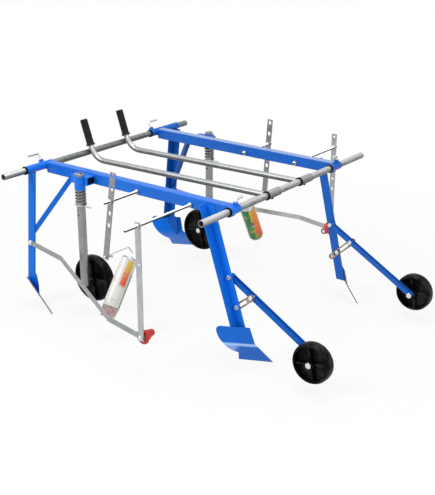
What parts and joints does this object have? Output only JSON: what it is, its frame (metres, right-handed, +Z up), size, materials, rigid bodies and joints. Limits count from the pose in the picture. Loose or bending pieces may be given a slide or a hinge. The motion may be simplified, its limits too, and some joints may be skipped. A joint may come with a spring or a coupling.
{
  "type": "mulch film layer",
  "caption": "Pulled frame with plough legs, gauge wheels, press rollers and spring press wheels that lays plastic mulch film and buries its edges.",
  "frame": {"origin": "on the ground, under the middle of the frame between the two cross tubes", "axes": "+X forward in the direction of travel, +Y to the left, +Z up"},
  "size_m": [1.5968, 1.449, 0.7623],
  "materials": {
    "galvanised": "hot-dip galvanised, dull",
    "blue_paint": "gloss enamel",
    "black_plastic": "moulded, satin",
    "rubber": "moulded, matte",
    "zinc": "bright zinc plate",
    "spring_steel": "zinc plate",
    "red_plastic": "moulded, gloss",
    "yellow_zinc": "yellow passivated zinc",
    "printed_can": "printed lacquer"
  },
  "bodies": {
    "cross_tubes": {"front_tube": "galvanised", "rear_tube": "galvanised"},
    "right_side": {"right_rail": "blue_paint", "right_sleeves": "blue_paint", "right_sleeve_bushes": "black_plastic", "right_front_leg": "blue_paint", "right_front_plough": "blue_paint", "right_rear_leg": "blue_paint", "right_rear_plough": "blue_paint", "right_rear_brace": "blue_paint", "right_strut_bracket": "blue_paint", "right_rods": "zinc", "right_hanger": "galvanised", "right_film_arm": "galvanised", "right_fasteners": "zinc", "right_spring": "spring_steel"},
    "right_front_lock_screw": {"right_front_lock": "zinc"},
    "right_rear_lock_screw": {"right_rear_lock": "zinc"},
    "right_strut_slider": {"right_strut": "galvanised", "right_strut_bolts": "zinc"},
    "right_press_wheel": {"right_rear_wheel": "black_plastic"},
    "right_gauge_arm": {"right_wheel_arm": "blue_paint", "right_front_axle": "zinc"},
    "right_slotted_link": {"right_link": "yellow_zinc"},
    "right_gauge_wheel": {"right_front_wheel": "black_plastic"},
    "right_cone_plug": {"right_cone": "red_plastic"},
    "right_roller_hanger": {"right_roller_strap": "galvanised", "right_roller_axle": "zinc"},
    "right_press_roller": {"right_roller": "printed_can"},
    "right_handle_bar": {"right_handle": "galvanised", "right_grip": "rubber"},
    "left_side": {"left_rail": "blue_paint", "left_sleeves": "blue_paint", "left_sleeve_bushes": "black_plastic", "left_front_leg": "blue_paint", "left_front_plough": "blue_paint", "left_rear_leg": "blue_paint", "left_rear_plough": "blue_paint", "left_rear_brace": "blue_paint", "left_strut_bracket": "blue_paint", "left_rods": "zinc", "left_hanger": "galvanised", "left_film_arm": "galvanised", "left_fasteners": "zinc", "left_spring": "spring_steel"},
    "left_front_lock_screw": {"left_front_lock": "zinc"},
    "left_rear_lock_screw": {"left_rear_lock": "zinc"},
    "left_strut_slider": {"left_strut": "galvanised", "left_strut_bolts": "zinc"},
    "left_press_wheel": {"left_rear_wheel": "black_plastic"},
    "left_gauge_arm": {"left_wheel_arm": "blue_paint", "left_front_axle": "zinc"},
    "left_slotted_link": {"left_link": "yellow_zinc"},
    "left_gauge_wheel": {"left_front_wheel": "black_plastic"},
    "left_cone_plug": {"left_cone": "red_plastic"},
    "left_roller_hanger": {"left_roller_strap": "galvanised", "left_roller_axle": "zinc"},
    "left_press_roller": {"left_roller": "printed_can"},
    "left_handle_bar": {"left_handle": "galvanised", "left_grip": "rubber"}
  },
  "joints": [
    {"name": "right_width", "type": "slide", "parent": "cross_tubes", "child": "right_side", "axis": [0, -1, 0], "range_m": [-0.12, 0.11]},
    {"name": "right_handle_swing", "type": "hinge", "parent": "cross_tubes", "child": "right_handle_bar", "pos_m": [0.5, -0.116, 0.613], "axis": [0, 1, 0], "range_deg": [0, 160]},
    {"name": "right_front_lock_turn", "type": "hinge", "parent": "right_side", "child": "right_front_lock_screw", "pos_m": [0.5, -0.36, 0.613], "axis": [0, 0, 1], "continuous": true},
    {"name": "right_rear_lock_turn", "type": "hinge", "parent": "right_side", "child": "right_rear_lock_screw", "pos_m": [-0.5, -0.393, 0.613], "axis": [-0.5, 0, 0.866], "continuous": true},
    {"name": "right_strut_slide", "type": "slide", "parent": "right_side", "child": "right_strut_slider", "axis": [0, 0, 1], "range_m": [0, 0.03], "stiffness_N_per_m": 13600, "deforming": ["right_spring"]},
    {"name": "right_press_wheel_spin", "type": "hinge", "parent": "right_strut_slider", "child": "right_press_wheel", "pos_m": [-0.242, -0.374, 0.152], "axis": [0, 1, 0], "continuous": true},
    {"name": "right_gauge_arm_swing", "type": "hinge", "parent": "right_side", "child": "right_gauge_arm", "pos_m": [0.48968, -0.3684, 0.343], "axis": [0, 1, 0], "range_deg": [-6, 12]},
    {"name": "right_link_swing", "type": "hinge", "parent": "right_gauge_arm", "child": "right_slotted_link", "pos_m": [0.59292, -0.3812, 0.28383], "axis": [0, 1, 0], "range_deg": [-8, 4]},
    {"name": "right_gauge_wheel_spin", "type": "hinge", "parent": "right_gauge_arm", "child": "right_gauge_wheel", "pos_m": [0.8875, -0.4047, 0.115], "axis": [0, 1, 0], "continuous": true},
    {"name": "right_cone_spin", "type": "hinge", "parent": "right_side", "child": "right_cone_plug", "pos_m": [0.305, -0.661, 0.151], "axis": [0, 1, 0], "continuous": true},
    {"name": "right_roller_strap_swing", "type": "hinge", "parent": "right_side", "child": "right_roller_hanger", "pos_m": [0.032, -0.538, 0.597], "axis": [0, 1, 0], "range_deg": [-12, 12]},
    {"name": "right_roller_spin", "type": "hinge", "parent": "right_roller_hanger", "child": "right_press_roller", "pos_m": [-0.00627, -0.384, 0.32855], "axis": [0, -0.5793, -0.8151], "continuous": true},
    {"name": "left_width", "type": "slide", "parent": "cross_tubes", "child": "left_side", "axis": [0, 1, 0], "range_m": [-0.12, 0.065]},
    {"name": "left_handle_swing", "type": "hinge", "parent": "cross_tubes", "child": "left_handle_bar", "pos_m": [0.5, 0.116, 0.613], "axis": [0, 1, 0], "range_deg": [0, 160]},
    {"name": "left_front_lock_turn", "type": "hinge", "parent": "left_side", "child": "left_front_lock_screw", "pos_m": [0.5, 0.364, 0.613], "axis": [0, 0, 1], "continuous": true},
    {"name": "left_rear_lock_turn", "type": "hinge", "parent": "left_side", "child": "left_rear_lock_screw", "pos_m": [-0.5, 0.322, 0.613], "axis": [-0.5, 0, 0.866], "continuous": true},
    {"name": "left_strut_slide", "type": "slide", "parent": "left_side", "child": "left_strut_slider", "axis": [0, 0, 1], "range_m": [0, 0.03], "stiffness_N_per_m": 13600, "deforming": ["left_spring"]},
    {"name": "left_press_wheel_spin", "type": "hinge", "parent": "left_strut_slider", "child": "left_press_wheel", "pos_m": [-0.242, 0.374, 0.16], "axis": [0, 1, 0], "continuous": true},
    {"name": "left_gauge_arm_swing", "type": "hinge", "parent": "left_side", "child": "left_gauge_arm", "pos_m": [0.48663, 0.3684, 0.343], "axis": [0, 1, 0], "range_deg": [-6, 12]},
    {"name": "left_link_swing", "type": "hinge", "parent": "left_gauge_arm", "child": "left_slotted_link", "pos_m": [0.59007, 0.3812, 0.28417], "axis": [0, 1, 0], "range_deg": [-8, 4]},
    {"name": "left_gauge_wheel_spin", "type": "hinge", "parent": "left_gauge_arm", "child": "left_gauge_wheel", "pos_m": [0.8875, 0.4047, 0.115], "axis": [0, 1, 0], "continuous": true},
    {"name": "left_cone_spin", "type": "hinge", "parent": "left_side", "child": "left_cone_plug", "pos_m": [0.305, 0.644, 0.201], "axis": [0, 1, 0], "continuous": true},
    {"name": "left_roller_strap_swing", "type": "hinge", "parent": "left_side", "child": "left_roller_hanger", "pos_m": [0.032, 0.532, 0.597], "axis": [0, 1, 0], "range_deg": [-12, 12]},
    {"name": "left_roller_spin", "type": "hinge", "parent": "left_roller_hanger", "child": "left_press_roller", "pos_m": [0.01512, 0.375, 0.34959], "axis": [0, 0.4368, -0.8996], "continuous": true}
  ],
  "couplings": [
    {"joint": "right_link_swing", "follows": "right_gauge_arm_swing", "ratio": -0.53086},
    {"joint": "left_link_swing", "follows": "left_gauge_arm_swing", "ratio": -0.64294}
  ]
}
